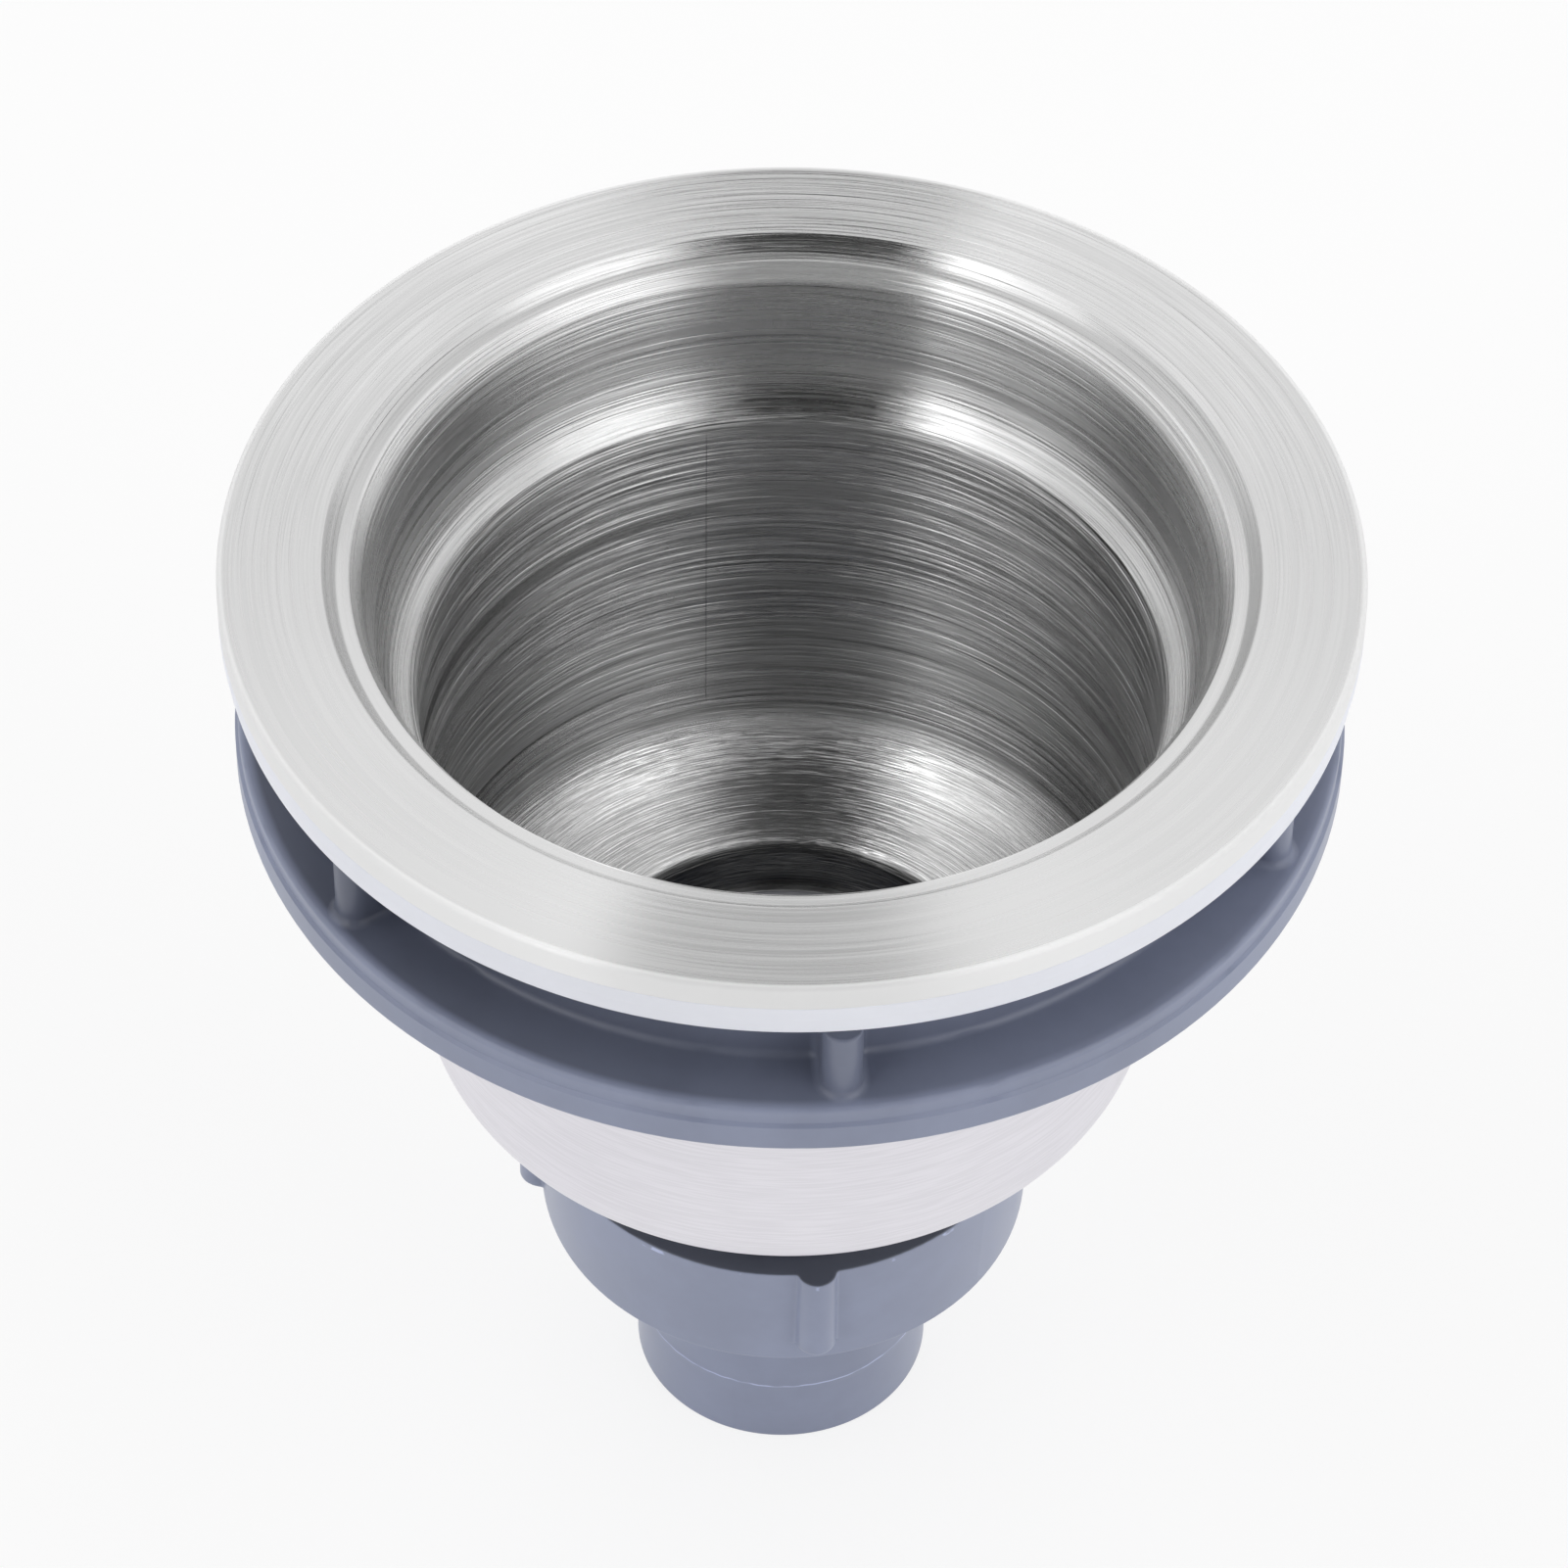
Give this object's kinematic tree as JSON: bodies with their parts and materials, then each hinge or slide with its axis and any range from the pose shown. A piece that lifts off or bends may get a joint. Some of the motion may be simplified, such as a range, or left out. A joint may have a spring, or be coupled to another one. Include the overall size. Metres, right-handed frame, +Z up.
{
  "type": "sink strainer",
  "caption": "Kitchen sink strainer body: flanged brushed steel cup, white gasket, large ribbed lock nut, outlet nut and plastic tail.",
  "frame": {"origin": "centre of the flange gasket's underside, the face that rests on the sink round its drain hole", "axes": "+Z up along the drain's axis, out of the mouth; -Y towards the picture's camera; +X to the picture's right"},
  "size_m": [0.114, 0.114, 0.122],
  "materials": {
    "brushed_steel": "brushed in rings",
    "plain_steel": "turned",
    "white_gasket": "satin",
    "black_rubber": "matte",
    "pale_plastic": "matte",
    "grey_plastic": "satin moulded"
  },
  "bodies": {
    "cup": {"flange_ring": "brushed_steel", "deep_cup": "brushed_steel", "flange_gasket": "white_gasket", "thread_collar": "plain_steel", "outlet_nipple": "plain_steel"},
    "washers": {"sink_washer": "black_rubber", "slip_ring": "pale_plastic"},
    "lock_nut": {"lock_nut": "grey_plastic"},
    "seal": {"tail_seal": "black_rubber"},
    "outlet_nut": {"outlet_nut": "grey_plastic"},
    "tail": {"tailpiece": "grey_plastic"}
  },
  "joints": [
    {"name": "washers_slide", "type": "slide", "parent": "cup", "child": "washers", "axis": [0, 0, -1], "range_m": [0, 0.01601]},
    {"name": "lock_nut_turn", "type": "hinge", "parent": "washers", "child": "lock_nut", "pos_m": [0, 0, -0.011], "axis": [0, 0, -1], "range_deg": [0, 1440]},
    {"name": "seal_slide", "type": "slide", "parent": "cup", "child": "seal", "axis": [0, 0, -1], "range_m": [0, 0.00578]},
    {"name": "outlet_nut_turn", "type": "hinge", "parent": "seal", "child": "outlet_nut", "pos_m": [0, 0, -0.0814], "axis": [0, 0, -1], "range_deg": [0, 900]},
    {"name": "tail_swivel", "type": "hinge", "parent": "seal", "child": "tail", "pos_m": [0, 0, -0.1], "axis": [0, 0, 1], "continuous": true}
  ],
  "couplings": [
    {"joint": "washers_slide", "follows": "lock_nut_turn", "m_per_rad": 0.00063662},
    {"joint": "seal_slide", "follows": "outlet_nut_turn", "m_per_rad": 0.00036749}
  ]
}
